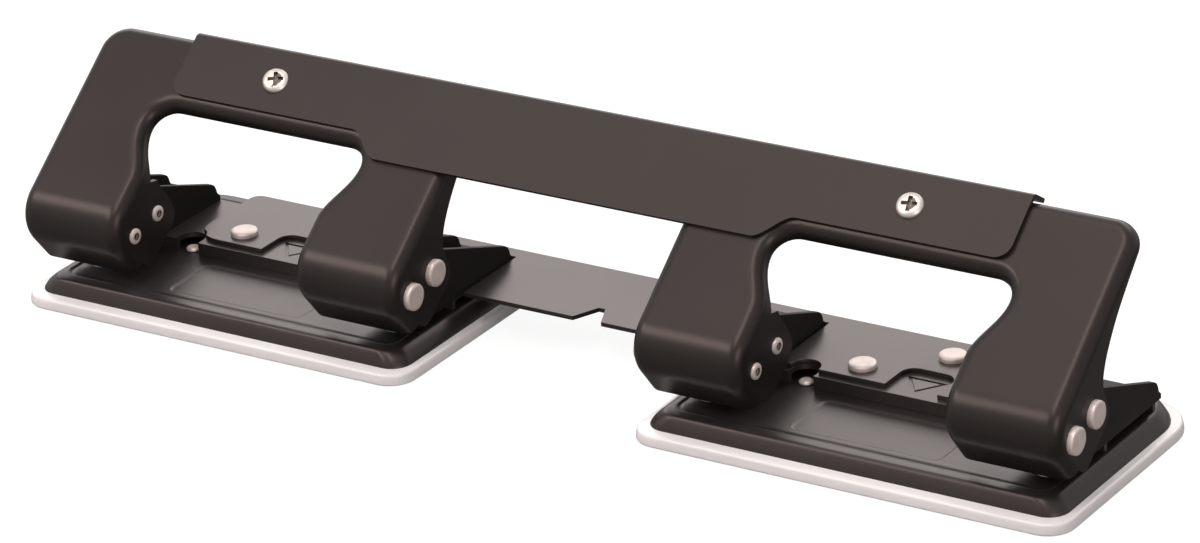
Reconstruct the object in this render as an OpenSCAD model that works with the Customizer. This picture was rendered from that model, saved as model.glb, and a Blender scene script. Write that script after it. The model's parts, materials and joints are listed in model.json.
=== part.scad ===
// Four-hole punch: two twin-punch units, a joining plate and one handle cover.
// Millimetres. +Z is up, +Y is the rear and X = 0 is the middle of the part.
// The tray bottoms stand on Z = 0 and Y = 0 is the middle of the trays.

/* [Holes] */
// Distance between neighbouring holes
hole_pitch = 80; // [76:0.5:90]
// Diameter of a punched hole
hole_diameter = 6; // [5:0.1:6.4]
// Distance from the hole line back to the paper stop
hole_margin = 12; // [11.5:0.1:12.5]

/* [Base] */
// Height of the chip tray's outer rim
tray_height = 2.6; // [2.2:0.1:4]
// Length of a chip tray beyond its two hole centres
tray_over = 23; // [21.6:0.2:28]
// Depth of a chip tray from front to rear
tray_depth = 62; // [60:0.2:68]
// Corner radius of a chip tray at the front
front_corner = 6; // [5:0.5:8]
// Corner radius of a chip tray at the rear
rear_corner = 12; // [10:0.5:14]
// Wall of the plastic trays
tray_wall = 1.2; // [1:0.1:1.6]
// Height of the sloping skirt of a base pan
pan_height = 3.4; // [3:0.1:5]
// Sheet of the base pans
pan_sheet = 1; // [0.8:0.1:1.2]
// Gap for the paper between the pan and the deck
throat_height = 2.95; // [2.6:0.05:4]
// Sheet of the body plates
deck_sheet = 1.2; // [1:0.1:1.5]
// Depth of a body plate behind the paper stop
deck_depth = 22.2; // [21:0.2:24]

/* [Joining plate] */
// Thickness of the plate that joins the two units
plate_sheet = 1; // [0.8:0.05:1.4]
// Length of the joining plate past the unit centres
plate_over = 25.5; // [23:0.5:28]
// Depth of the notch in the middle of the plate
notch_depth = 6.1; // [3:0.1:9]
// Diameter of the flat plate rivet heads
plate_head = 6.2; // [5:0.1:7]

/* [Brackets] */
// Outer width of a bracket
bracket_width = 14.8; // [14:0.1:15.6]
// Sheet of the brackets
bracket_sheet = 1.5; // [1.2:0.1:1.7]
// Height of the lever pivot above the deck
pivot_rise = 9.65; // [9.5:0.05:10.2]

/* [Lever] */
// Angle of the lever panel above the horizontal at rest
rest_angle = 38.1; // [37.5:0.1:39]
// Turn of the lever from rest to the full stroke
press_angle = 36; // [20:1:36]
// Sheet of the levers
lever_sheet = 1.2; // [1:0.1:1.3]
// Length of the lever panel above the nose
lever_length = 47.6; // [45:0.1:60]
// Width of a lever leg
leg_width = 26.7; // [26.2:0.1:27.6]
// Radius of the pressed edge between panel and flank
fold_radius = 3; // [2:0.1:3.4]
// Sheet of the handle cover
cover_sheet = 1; // [0.8:0.1:1.4]
// Length of the cover's lip over the lever tops
cover_lip = 4.4; // [3:0.1:6]
// Diameter of the two cover screw heads
screw_head = 6; // [5:0.1:7]

/* [Rivets and punches] */
// Shank of the pivot and driver rivets
rivet_shank = 3; // [2.6:0.1:3.2]
// Head of the pivot and driver rivets
rivet_head = 6; // [5:0.1:6.6]
// Distance from the pivot to the driver rivet
driver_arm = 8.8; // [8.6:0.05:9]
// Angle of the driver rivet above the horizontal at rest
driver_angle = 14; // [12:0.5:16]
// Diameter of a punch head
punch_head = 9; // [8.2:0.1:9.6]
// Wire of the return springs
spring_wire = 0.6; // [0.5:0.05:0.65]
// Number of curls in a return spring
spring_curls = 3; // [2:0.5:3]

/* [Hidden] */
$fn = 64;
eps = 0.01;
// running clearance of the sliding and turning fits, on the radius
run_gap = 0.05;
// free clearance round the driver rivets, on the radius
free_gap = 0.3;

// layout along X: unit centres, and the distances inside one unit
unit_x = hole_pitch;
punch_x = hole_pitch / 2;
tray_x = punch_x + tray_over / 2;
tray_y = tray_depth / 2;
pan_x = tray_x - 2.2;
pan_y = tray_y - 2.45;
pan_mid = 0.85;
pan_slope_x = 3.5;
pan_slope_front = 1.6;
pan_slope_rear = 1;
pan_front = front_corner - 1.5;
pan_rear = rear_corner;
deck_x = punch_x + 6;
bracket_out = bracket_width / 2;
flank_out = punch_x + 10.4;
flank_in = flank_out - leg_width;

// layout along Z
floor_z = tray_height + pan_height;
deck_z = floor_z + throat_height;
plate_z = deck_z + plate_sheet;
web_z = deck_z + bracket_sheet;
pivot_z = deck_z + pivot_rise;
driver_z = pivot_z + driver_arm * sin(driver_angle);

// layout along Y
stop_y = -2.32;
punch_y = stop_y - hole_margin;
swing_y = driver_arm * (1 + cos(press_angle - driver_angle)) / 2;
pivot_y = punch_y - swing_y;
driver_y = pivot_y + driver_arm * cos(driver_angle);
wander_y = driver_arm * (1 - cos(press_angle - driver_angle)) / 2;
deck_rear = stop_y + deck_depth;
plate_front = stop_y + 1.62;
plate_rear = deck_rear + 4.1;
stroke = driver_arm * (sin(driver_angle) + sin(press_angle - driver_angle));

// brackets
cheek_front = pivot_y - 4;
web_front = pivot_y + 2.2;
cheek_top = pivot_z + 6;
cheek_rear = deck_rear;

// lever panel, measured from its own origin: s up the panel, off outwards
pivot_s = 0.98;
pivot_off = -8.54;
nose_s = -5;
nose_r = 8.5;
wall_off = -15.5;
flank_off = -18.7;
arch_top = lever_length - 17.7;
arch_half = punch_x - 11.7;
arch_low = 11;
arch_leg = flank_in;
arch_lip = 3.2;
top_corner = 6.5;
screw_s = lever_length - 7.6;
cover_top = lever_length;
cover_end = unit_x + 25.5;
cover_mid = punch_x + 7.4;
cover_low = lever_length - 21.2;
cover_high = lever_length - 15.2;

// rivets and punches
head_thick = 1.4;
tail_thick = 0.6;
tail_d = rivet_shank + 1.2;
slot_z = rivet_shank / 2 + free_gap;
slot_y = rivet_shank / 2 + free_gap + wander_y;
head_low = driver_z - slot_z - 0.6;
head_high = driver_z + slot_z + 1;
tip_z = deck_z + 0.25;
tip_hollow = 0.7;
stake_x = 25.6;
stake_y = stop_y + 2;
stake_d = 2.4;
stake_head = 3.2;
stake_relief = 3.3;
plate_rivet_a = [-14.6, 6.9];
plate_rivet_b = [0.4, deck_depth - 3.5];
plate_rivet_d = 3;

// springs: a hexagonal tube swept along a helix
spring_low = web_z + 0.02;
spring_high = head_low - 0.02;
spring_r = (hole_diameter + punch_head) / 4 + 0.2;
spring_rings = round(8 * spring_curls);
spring_rise = spring_high - spring_low - spring_wire;
self_gap = min([for (i = [0:spring_rings - 5]) for (j = [i + 5:spring_rings])
  for (k = [0:5]) for (m = [0:5]) norm(ring_point(i, k) - ring_point(j, m))]);
echo(self_gap = self_gap);
echo(stroke = stroke, pressed_spring = spring_high - stroke - spring_low);

// X positions of the four punches, from left to right
function post_x(n) = (n - 2.5) * hole_pitch;

// +1 where the outside of a leg faces +X in its unit, -1 where it faces -X
function post_side(n) = n % 2 == 0 ? 1 : -1;

// Point at radius r and angle a
function polar(r, a) = [r * cos(a), r * sin(a)];

// An S-shaped step from a to b, k running from 0 to 1
function s_step(a, b, k) = a + (b - a) * (1 - cos(180 * k)) / 2;

// Rectangle with its own corner radii at the front and at the rear
module rounded(hx, hy, rf, rr) {
  translate([-hx, rf - hy]) square([2 * hx, 2 * hy - rf - rr]);
  translate([rf - hx, -hy]) square([2 * (hx - rf), hy]);
  translate([rr - hx, 0]) square([2 * (hx - rr), hy]);
  for (i = [-1, 1]) {
    translate([i * (hx - rf), rf - hy]) circle(rf);
    translate([i * (hx - rr), hy - rr]) circle(rr);
  }
}

// Extrudes a (y, z) outline along X, centred on x
module along_x(x, width) {
  translate([x - width / 2, 0, 0]) {
    rotate([90, 0, 90]) linear_extrude(width) children();
  }
}

// Extrudes an (x, z) outline along Y over the given half depth
module along_y(half) {
  translate([0, half, 0]) {
    rotate([90, 0, 0]) linear_extrude(2 * half) children();
  }
}

// Puts lever coordinates (x, s, off) into the frame of the part
module on_lever() {
  translate([0, pivot_y, pivot_z]) {
    rotate([rest_angle, 0, 0]) {
      translate([0, -pivot_s, -pivot_off]) children();
    }
  }
}

// A bar along X between two x values at the given (y, z)
module bar(x0, x1, y, z, d) {
  translate([x0, y, z]) rotate([0, 90, 0]) cylinder(h = x1 - x0, d = d);
}

// Solid with sloping sides: z0 to z1, inset b below; above, the inset is
// tx at the ends, tf at the front and tr at the rear
module sloped(hx, hy, rf, rr, z0, z1, b, tx, tf, tr) {
  intersection() {
    translate([0, 0, z0]) linear_extrude(z1 - z0) rounded(hx, hy, rf, rr);
    along_y(hy + 1) {
      polygon([[-hx + b, z0], [hx - b, z0], [hx - tx, z1], [-hx + tx, z1]]);
    }
    along_x(0, 2 * hx + 2) {
      polygon([[-hy + b, z0], [hy - b, z0], [hy - tr, z1], [-hy + tf, z1]]);
    }
  }
}

// ---- base ----
module tray_body() {
  edge = 0.35;
  lip_x = pan_x - 3.1;
  lip_y = pan_y - 2.2;
  difference() {
    union() {
      sloped(tray_x, tray_y, front_corner, rear_corner, 0, edge,
        edge, 0, 0, 0);
      sloped(tray_x, tray_y, front_corner, rear_corner, edge, tray_height,
        0, 0.4, 0.4, 0.4);
      translate([0, pan_mid, 0]) linear_extrude(tray_height + 1.8) {
        rounded(lip_x, lip_y, pan_front - 1.5, pan_rear - 3);
      }
    }
    translate([0, pan_mid, tray_wall]) {
      linear_extrude(tray_height + 2) {
        rounded(lip_x - tray_wall, lip_y - tray_wall,
          pan_front - 2.5, pan_rear - 4);
      }
    }
  }
}

// Outside of a base pan: the ends bow outwards as they slope in
module pan_outside() {
  bow_x = pan_x - 1.1;
  bow_z = (tray_height + floor_z) / 2;
  top_x = pan_x - pan_slope_x;
  intersection() {
    sloped(pan_x, pan_y, pan_front, pan_rear, tray_height, floor_z,
      0, 0, pan_slope_front, pan_slope_rear);
    along_y(pan_y + 1) {
      polygon([[-pan_x, tray_height], [pan_x, tray_height], [bow_x, bow_z],
        [top_x, floor_z], [-top_x, floor_z], [-bow_x, bow_z]]);
    }
  }
}

module pan_body() {
  groove_x = pan_x - pan_slope_x - 3.2;
  groove_y = pan_y - 4.3;
  difference() {
    translate([0, pan_mid, 0]) pan_outside();
    translate([0, pan_mid, 0]) {
      sloped(pan_x - pan_sheet, pan_y - pan_sheet, pan_front - pan_sheet,
        pan_rear - pan_sheet, tray_height - eps, floor_z - pan_sheet,
        0, pan_slope_x - 1, pan_slope_front - 0.3, pan_slope_rear - 0.3);
    }
    // pressed line inside the rim
    translate([0, pan_mid, floor_z - 0.3]) {
      linear_extrude(1) {
        difference() {
          rounded(groove_x, groove_y, 3, 9);
          rounded(groove_x - 0.8, groove_y - 0.8, 2.2, 8.2);
        }
      }
    }
    // shallow rectangle pressed into the floor
    translate([0, punch_y + 1.6, floor_z - 0.25]) {
      linear_extrude(1) rounded(17.5, 7.35, 1.5, 1.5);
    }
    for (i = [-1, 1]) {
      translate([i * punch_x, punch_y, 0]) {
        cylinder(h = floor_z + 1, d = hole_diameter + 2 * run_gap);
      }
      translate([i * stake_x, stake_y, 0]) {
        cylinder(h = floor_z + 1, d = stake_d);
      }
    }
  }
}

// Round notch, open to the front
module stake_notch(r) {
  circle(r);
  translate([-r, -4]) square([2 * r, 4]);
}

module deck_body() {
  skirt = deck_z - deck_sheet - floor_z;
  mid_y = stop_y + deck_depth / 2;
  difference() {
    union() {
      translate([-deck_x, stop_y, deck_z - deck_sheet]) {
        cube([2 * deck_x, deck_depth, deck_sheet]);
      }
      translate([-deck_x, stop_y, floor_z]) {
        cube([2 * deck_x, deck_sheet, skirt + eps]);
      }
      translate([-deck_x, deck_rear - deck_sheet, floor_z]) {
        cube([2 * deck_x, deck_sheet, skirt + eps]);
      }
    }
    // notches round the two locating rivets
    for (i = [-1, 1]) {
      translate([i * stake_x, stake_y, floor_z - 1]) {
        linear_extrude(throat_height + 2) stake_notch(stake_relief - 0.3);
      }
    }
    // rivet holes of the joining plate
    for (p = [plate_rivet_a, plate_rivet_b]) {
      translate([p[0], p[1] + stop_y, floor_z]) {
        cylinder(h = throat_height + 1, d = plate_rivet_d);
      }
    }
    // pressed triangle that marks the middle of the sheet
    translate([0, stop_y, deck_z - 0.3]) {
      linear_extrude(1) polygon([[0, 2.2], [4.8, 8.8], [-4.8, 8.8]]);
    }
  }
}

module stakes() {
  for (u = [-1, 1]) {
    for (i = [-1, 1]) {
      translate([u * unit_x + i * stake_x, stake_y, 0]) {
        translate([0, 0, floor_z - pan_sheet - 0.6]) {
          cylinder(h = 0.6, d = stake_d + 1.6);
        }
        translate([0, 0, floor_z - pan_sheet]) {
          cylinder(h = pan_sheet + 0.5, d = stake_d);
        }
        translate([0, 0, floor_z]) cylinder(h = 0.45, d = stake_head);
        translate([0, 0, floor_z + 0.45]) {
          cylinder(h = 0.35, d1 = stake_head, d2 = stake_head - 0.9);
        }
      }
    }
  }
}

// ---- joining plate ----
module plate_outline() {
  end_x = unit_x + plate_over;
  notch = 4.2;
  clear = bracket_width + 1;
  difference() {
    union() {
      translate([-end_x, plate_front + 7]) {
        square([2 * end_x, plate_rear - plate_front - 9.5]);
      }
      translate([-end_x + 7, plate_front]) {
        square([2 * end_x - 14, 8]);
      }
      translate([-end_x + 2.5, plate_rear - 3]) {
        square([2 * end_x - 5, 3]);
      }
      for (i = [-1, 1]) {
        translate([i * (end_x - 7), plate_front + 7]) circle(7);
        translate([i * (end_x - 2.5), plate_rear - 2.5]) circle(2.5);
      }
    }
    polygon([[-notch, plate_front - 1], [notch, plate_front - 1],
      [notch - 0.6, plate_front], [0.8, plate_front + notch_depth],
      [-0.8, plate_front + notch_depth], [-notch + 0.6, plate_front]]);
    for (u = [-1, 1]) {
      // opening round the triangle mark
      translate([u * unit_x, plate_front + 3.75]) {
        rounded(6.2, 5.8, 3.2, 3.2);
      }
      translate([u * unit_x - 6.2, plate_front - 1]) square([12.4, 4]);
      // reliefs round the locating rivets
      for (i = [-1, 1]) {
        translate([u * unit_x + i * stake_x, stake_y]) {
          stake_notch(stake_relief);
        }
      }
      // room for the inner bracket
      translate([u * (unit_x - punch_x) - clear / 2, plate_front - 1]) {
        square([clear, cheek_rear - plate_front + 1.4]);
      }
    }
  }
}

module plate_body() {
  difference() {
    translate([0, 0, deck_z]) linear_extrude(plate_sheet) plate_outline();
    for (u = [-1, 1]) {
      for (p = [plate_rivet_a, plate_rivet_b]) {
        translate([u * unit_x + p[0], p[1] + stop_y, deck_z - 1]) {
          cylinder(h = plate_sheet + 2, d = plate_rivet_d);
        }
      }
    }
  }
}

module plate_rivet() {
  under = deck_z - deck_sheet;
  translate([0, 0, under]) {
    cylinder(h = plate_z - under, d = plate_rivet_d);
  }
  translate([0, 0, under - 0.6]) {
    cylinder(h = 0.6, d = plate_rivet_d + 1.4);
  }
  translate([0, 0, plate_z]) {
    cylinder(h = 0.8, d = plate_head);
    translate([0, 0, 0.8]) {
      cylinder(h = 0.4, d1 = plate_head, d2 = plate_head - 1);
    }
  }
}

module plate_rivet_set() {
  for (u = [-1, 1]) {
    for (p = [plate_rivet_a, plate_rivet_b]) {
      translate([u * unit_x + p[0], p[1] + stop_y, 0]) plate_rivet();
    }
  }
}

// ---- brackets ----
// The front stays clear of the nose of the lever over its whole turn
module cheek_outline() {
  slope_y = pivot_y + 10.7;
  nose = [pivot_y + 1.2, pivot_z + 0.8];
  nose_arc = [for (a = [90:7.5:180])
    nose + (cheek_top - nose[1]) * [cos(a), sin(a)]];
  difference() {
    polygon(concat(nose_arc, [[cheek_front, pivot_z - 1.8],
      [web_front, deck_z], [cheek_rear, deck_z],
      [cheek_rear, deck_z + 1.1], [cheek_rear - 0.9, deck_z + 1.9],
      [cheek_rear - 1.3, deck_z + 3.2], [cheek_rear - 1.8, deck_z + 4.1],
      [cheek_rear - 2.6, deck_z + 4.65],
      [slope_y, cheek_top - 0.1], [slope_y - 1.5, cheek_top]]));
    translate([pivot_y, pivot_z]) circle(d = rivet_shank + 2 * run_gap);
    driver_slot();
  }
}

// Slot that the driver rivet sweeps, between rest and full stroke
module driver_slot() {
  low = driver_angle - press_angle;
  turns = [for (k = [1:7]) k / 8];
  outer = [for (k = turns) polar(driver_arm + slot_z, low + press_angle * k)];
  inner = [for (k = turns)
    polar(driver_arm - slot_z, driver_angle - press_angle * k)];
  top = [for (k = [0:10]) polar(driver_arm, driver_angle)
    + polar(slot_z, driver_angle + 18 * k)];
  bottom = [for (k = [0:10]) polar(driver_arm, low)
    + polar(slot_z, low + 180 + 18 * k)];
  translate([pivot_y, pivot_z]) polygon(concat(outer, top, inner, bottom));
}

module bracket_body() {
  cheek_mid = bracket_out - bracket_sheet / 2;
  difference() {
    union() {
      for (i = [-1, 1]) {
        along_x(i * cheek_mid, bracket_sheet) cheek_outline();
      }
      translate([-cheek_mid, web_front, deck_z]) {
        cube([2 * cheek_mid, cheek_rear - web_front, bracket_sheet]);
      }
    }
    translate([0, punch_y, deck_z - 1]) {
      cylinder(h = bracket_sheet + 2, d = hole_diameter + 2 * run_gap);
    }
  }
}

// ---- lever ----
// Cross-section (x, off) of a pressed channel: solid, with rounded corners
module channel(half, r, top) {
  translate([-half, -30]) square([2 * half, 30 + top - r]);
  translate([-half + r, -30]) square([2 * (half - r), 30 + top]);
  for (i = [-1, 1]) {
    translate([i * (half - r), top - r]) circle(r);
  }
}

// Side outline (s, off) of the flanks
module flank_outline() {
  polygon([[nose_s + nose_r, 0], [nose_s, -nose_r], [nose_s, wall_off + 1],
    [nose_s + 0.4, wall_off - 0.7], [nose_s + 1.4, flank_off + 1.2],
    [nose_s + 3.4, flank_off], [10.6, flank_off], [12.4, flank_off + 0.9],
    [13.4, -16.2], [14.2, -12.6], [15.3, -10.8],
    [arch_top - 12.4, -8.9], [arch_top - 8.7, -6.6], [arch_top - 1.9, -4.8],
    [arch_top + 3.6, -3.7], [arch_top + 9.1, -3],
    [lever_length, -2.8], [lever_length, -2], [lever_length - 2, 0]]);
  intersection() {
    translate([nose_s + nose_r, -nose_r]) circle(nose_r);
    translate([nose_s, -nose_r]) square([nose_r, nose_r]);
  }
  intersection() {
    translate([lever_length - 2, -2]) circle(2);
    translate([lever_length - 2, -2]) square([2, 2]);
  }
}

// Side outline (s, off) of the room inside the sheet
module room_outline() {
  t = lever_sheet;
  translate([nose_s + nose_r, -30]) {
    square([lever_length - nose_s - nose_r - t, 30 - t]);
  }
  translate([nose_s + t, -30]) square([nose_r, 30 - nose_r]);
  translate([nose_s - 1, -30]) square([nose_r, 30 + wall_off]);
  translate([nose_s + nose_r, -nose_r]) circle(nose_r - t);
}

// Opening between the two legs of a lever, larger all round by grow
module arch_outline(grow) {
  high = arch_top - 5.9;
  wide = arch_half + grow;
  foot = arch_leg + grow;
  steps = [for (k = [0:6]) k / 6];
  right = [for (k = steps) [s_step(foot, wide, k), arch_low + (high - arch_low) * k]];
  left = [for (k = [6:-1:0]) [-right[k][0], right[k][1]]];
  r = 4.5 + grow;
  top = arch_top + grow;
  polygon(concat([[foot, -12]], right, [[wide, top - r], [wide - r, top],
    [r - wide, top], [-wide, top - r]], left, [[-foot, -12]]));
  for (i = [-1, 1]) {
    translate([i * (wide - r), top - r]) circle(r);
  }
}

// Front outline (x, s) of a lever panel with rounded top corners
module panel_outline(inset) {
  half = flank_out - inset;
  top = lever_length - inset;
  r = top_corner - inset;
  translate([-half, -20]) square([2 * half, 20 + top - r]);
  translate([r - half, 0]) square([2 * (half - r), top]);
  for (i = [-1, 1]) {
    translate([i * (half - r), top - r]) circle(r);
  }
}

module lever_legs() {
  half = leg_width / 2;
  t = lever_sheet;
  for (i = [-1, 1]) {
    translate([i * (flank_out - half), 0, 0]) {
      difference() {
        intersection() {
          translate([0, arch_low + 3.6, 0]) {
            rotate([90, 0, 0]) linear_extrude(21) channel(half, fold_radius, 0);
          }
          along_x(0, 2 * half + 1) flank_outline();
        }
        intersection() {
          translate([0, 17, 0]) {
            rotate([90, 0, 0]) {
              linear_extrude(30) channel(half - t, fold_radius - t, -t);
            }
          }
          along_x(0, 2 * half + 1) room_outline();
        }
      }
    }
  }
}

module lever_panel() {
  t = lever_sheet;
  high = lever_length - arch_low;
  difference() {
    intersection() {
      translate([0, lever_length, 0]) {
        rotate([90, 0, 0]) linear_extrude(high) channel(flank_out, fold_radius, 0);
      }
      along_x(0, 2 * flank_out + 1) flank_outline();
      translate([0, 0, -20]) linear_extrude(30) panel_outline(0);
    }
    intersection() {
      translate([0, lever_length, 0]) {
        rotate([90, 0, 0]) {
          linear_extrude(high + 1) channel(flank_out - t, fold_radius - t, -t);
        }
      }
      along_x(0, 2 * flank_out + 1) room_outline();
      translate([0, 0, -20]) linear_extrude(30) panel_outline(t);
    }
    translate([0, 0, -25]) linear_extrude(30) arch_outline(0);
  }
}

// Turned-in lip round the arch
module arch_rim() {
  intersection() {
    translate([0, 0, -arch_lip]) {
      linear_extrude(arch_lip - lever_sheet / 2) {
        difference() {
          arch_outline(lever_sheet);
          arch_outline(0);
        }
      }
    }
    translate([-flank_out, arch_low, -10]) cube([2 * flank_out, arch_top, 20]);
  }
}

module lever_body() {
  difference() {
    on_lever() {
      lever_legs();
      lever_panel();
      arch_rim();
    }
    bar(-flank_out - 1, flank_out + 1, pivot_y, pivot_z, rivet_shank);
    bar(-flank_out - 1, flank_out + 1, driver_y, driver_z, rivet_shank);
    on_lever() {
      translate([0, screw_s, -5]) cylinder(h = 6, d = 3);
    }
  }
}

// Front outline (x, s) of the handle cover
module cover_outline() {
  r = 3.5;
  steps = [for (k = [0:8]) k / 8];
  right = [for (k = steps)
    [cover_mid + 8.6 * k, s_step(cover_low, cover_high, k)]];
  left = [for (k = [8:-1:0]) [-right[k][0], right[k][1]]];
  polygon(concat(right, [[cover_end - r, cover_high],
    [cover_end, cover_high + r], [cover_end, cover_top],
    [-cover_end, cover_top], [-cover_end, cover_high + r],
    [r - cover_end, cover_high]], left));
  for (i = [-1, 1]) {
    translate([i * (cover_end - r), cover_high + r]) circle(r);
  }
}

// Side outline (s, off) of the lip that lies over the lever tops
module lip_outline() {
  lean = 18;
  bend = [lever_length + cover_sheet + 0.15, cover_sheet - 0.45];
  end = bend + cover_lip * [sin(lean), -cos(lean)];
  polygon([[lever_length - 2, 0], [lever_length - 2, cover_sheet],
    [lever_length + 0.5, cover_sheet], bend, end,
    end - cover_sheet * [cos(lean), sin(lean)],
    bend - cover_sheet * [cos(lean), sin(lean)],
    [lever_length, 0]]);
}

module cover_body() {
  on_lever() {
    difference() {
      union() {
        linear_extrude(cover_sheet) cover_outline();
        along_x(0, 2 * cover_end) lip_outline();
      }
      for (i = [-1, 1]) {
        translate([i * unit_x, screw_s, -1]) cylinder(h = 4, d = 3);
      }
    }
  }
}

module cover_screw() {
  difference() {
    union() {
      translate([0, 0, -3.2]) cylinder(h = 3.3 + cover_sheet, d = 3);
      translate([0, 0, cover_sheet]) {
        cylinder(h = 0.7, d = screw_head);
        translate([0, 0, 0.7]) {
          cylinder(h = 0.6, d1 = screw_head, d2 = screw_head - 2);
        }
      }
    }
    for (a = [20, 110]) {
      translate([0, 0, cover_sheet + 1.3]) {
        rotate([0, 0, a]) cube([3.2, 0.8, 1.8], center = true);
      }
    }
  }
}

module cover_screw_set() {
  on_lever() {
    for (u = [-1, 1]) {
      translate([u * unit_x, screw_s, 0]) cover_screw();
    }
  }
}

// One rivet through both flanks of a leg; side +1 puts the head at +X
module leg_rivet(side, y, z) {
  half = leg_width / 2;
  mid = side * (flank_out - half);
  head_x = mid + side * (half + head_thick / 2);
  tail_x = mid - side * (half + tail_thick / 2);
  difference() {
    union() {
      bar(mid - half - eps, mid + half + eps, y, z, rivet_shank);
      bar(head_x - head_thick / 2, head_x + head_thick / 2, y, z, rivet_head);
      bar(tail_x - tail_thick / 2, tail_x + tail_thick / 2, y, z, tail_d);
    }
    // hollow of the peened end
    bar(tail_x - tail_thick, tail_x + tail_thick, y, z, 1.6);
  }
}

// ---- punches and springs ----
module punch_body() {
  difference() {
    union() {
      translate([0, punch_y, tip_z]) {
        cylinder(h = head_low - tip_z + eps, d = hole_diameter);
      }
      translate([0, punch_y, head_low]) {
        cylinder(h = head_high - head_low, d = punch_head);
      }
    }
    // slot for the driver rivet
    translate([0, punch_y, driver_z]) {
      cube([punch_head + 2, 2 * slot_y, 2 * slot_z], center = true);
    }
    // hollow cutting end
    bar(-8, 8, punch_y, tip_z - 6 + tip_hollow, 12);
  }
}

// Point k of ring i of the spring tube
function ring_point(i, k) =
  let (turn = 360 * i / 8,
    rise = spring_low + spring_wire / 2 + spring_rise * i / spring_rings,
    side = spring_r + spring_wire / 2 * cos(60 * k))
  [side * cos(turn), side * sin(turn), rise + spring_wire / 2 * sin(60 * k)];

module spring_body() {
  last = 6 * spring_rings;
  points = [for (i = [0:spring_rings]) for (k = [0:5]) ring_point(i, k)];
  sides = [for (i = [0:spring_rings - 1]) for (k = [0:5])
    [6 * i + k, 6 * i + (k + 1) % 6, 6 * i + 6 + (k + 1) % 6, 6 * i + 6 + k]];
  ends = [[5, 4, 3, 2, 1, 0], [for (k = [0:5]) last + k]];
  translate([0, punch_y, 0]) {
    polyhedron(points = points, faces = concat(sides, ends), convexity = 6);
  }
}

// ---- the nodes ----
module base_pan_left() {
  color("DimGray") translate([-unit_x, 0, 0]) pan_body();
}

module base_pan_right() {
  color("DimGray") translate([unit_x, 0, 0]) pan_body();
}

module chip_tray_left() {
  color("Gainsboro") translate([-unit_x, 0, 0]) tray_body();
}

module chip_tray_right() {
  color("Gainsboro") translate([unit_x, 0, 0]) tray_body();
}

module body_plate_left() {
  color("DimGray") translate([-unit_x, 0, 0]) deck_body();
}

module body_plate_right() {
  color("DimGray") translate([unit_x, 0, 0]) deck_body();
}

module bracket_at(n) {
  color("Black") translate([post_x(n), 0, 0]) bracket_body();
}

module connecting_plate() {
  color("Gray") plate_body();
}

module plate_rivets() {
  color("Silver") plate_rivet_set();
}

module locating_rivets() {
  color("Silver") stakes();
}

module lever_left() {
  color("DarkSlateGray") translate([-unit_x, 0, 0]) lever_body();
}

module lever_right() {
  color("DarkSlateGray") translate([unit_x, 0, 0]) lever_body();
}

module handle_cover() {
  color("DimGray") cover_body();
}

module cover_screws() {
  color("Silver") cover_screw_set();
}

module pivot_rivets() {
  color("Silver") {
    for (u = [-1, 1]) {
      for (side = [-1, 1]) {
        translate([u * unit_x, 0, 0]) leg_rivet(side, pivot_y, pivot_z);
      }
    }
  }
}

module driver_rivets() {
  color("Silver") {
    for (u = [-1, 1]) {
      for (side = [-1, 1]) {
        translate([u * unit_x, 0, 0]) leg_rivet(side, driver_y, driver_z);
      }
    }
  }
}

module punch_at(n) {
  color("LightSteelBlue") translate([post_x(n), 0, 0]) punch_body();
}

module spring_at(n) {
  color("SlateGray") translate([post_x(n), 0, 0]) spring_body();
}

base_pan_left();
base_pan_right();
chip_tray_left();
chip_tray_right();
body_plate_left();
body_plate_right();
bracket_at(1);  // bracket_1
bracket_at(2);  // bracket_2
bracket_at(3);  // bracket_3
bracket_at(4);  // bracket_4
connecting_plate();
plate_rivets();
locating_rivets();
lever_left();
lever_right();
handle_cover();
cover_screws();
pivot_rivets();
driver_rivets();
punch_at(1);  // punch_1
punch_at(2);  // punch_2
punch_at(3);  // punch_3
punch_at(4);  // punch_4
spring_at(1);  // spring_1
spring_at(2);  // spring_2
spring_at(3);  // spring_3
spring_at(4);  // spring_4
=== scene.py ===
"""Looks of a four-hole punch: satin black pressed sheet, steel rivets, clear trays.

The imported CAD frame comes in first. Sheet pieces are then rebuilt with their
pressed folds, and what repeats (rivets, screws, springs) comes from Geometry
Nodes. Sizes in the classes are millimetres; meshes are written in metres.
"""

from __future__ import annotations

import json
import logging
import math
from contextlib import contextmanager
from dataclasses import dataclass
from enum import Enum
from typing import Any, Callable, Iterable, Iterator, Sequence

import bmesh
import bpy
from bpy.types import ID, Material, Mesh, Node, NodeSocket, NodeTree, Object, World
from mathutils import Matrix, Vector
from mathutils.geometry import delaunay_2d_cdt, tessellate_polygon

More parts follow.
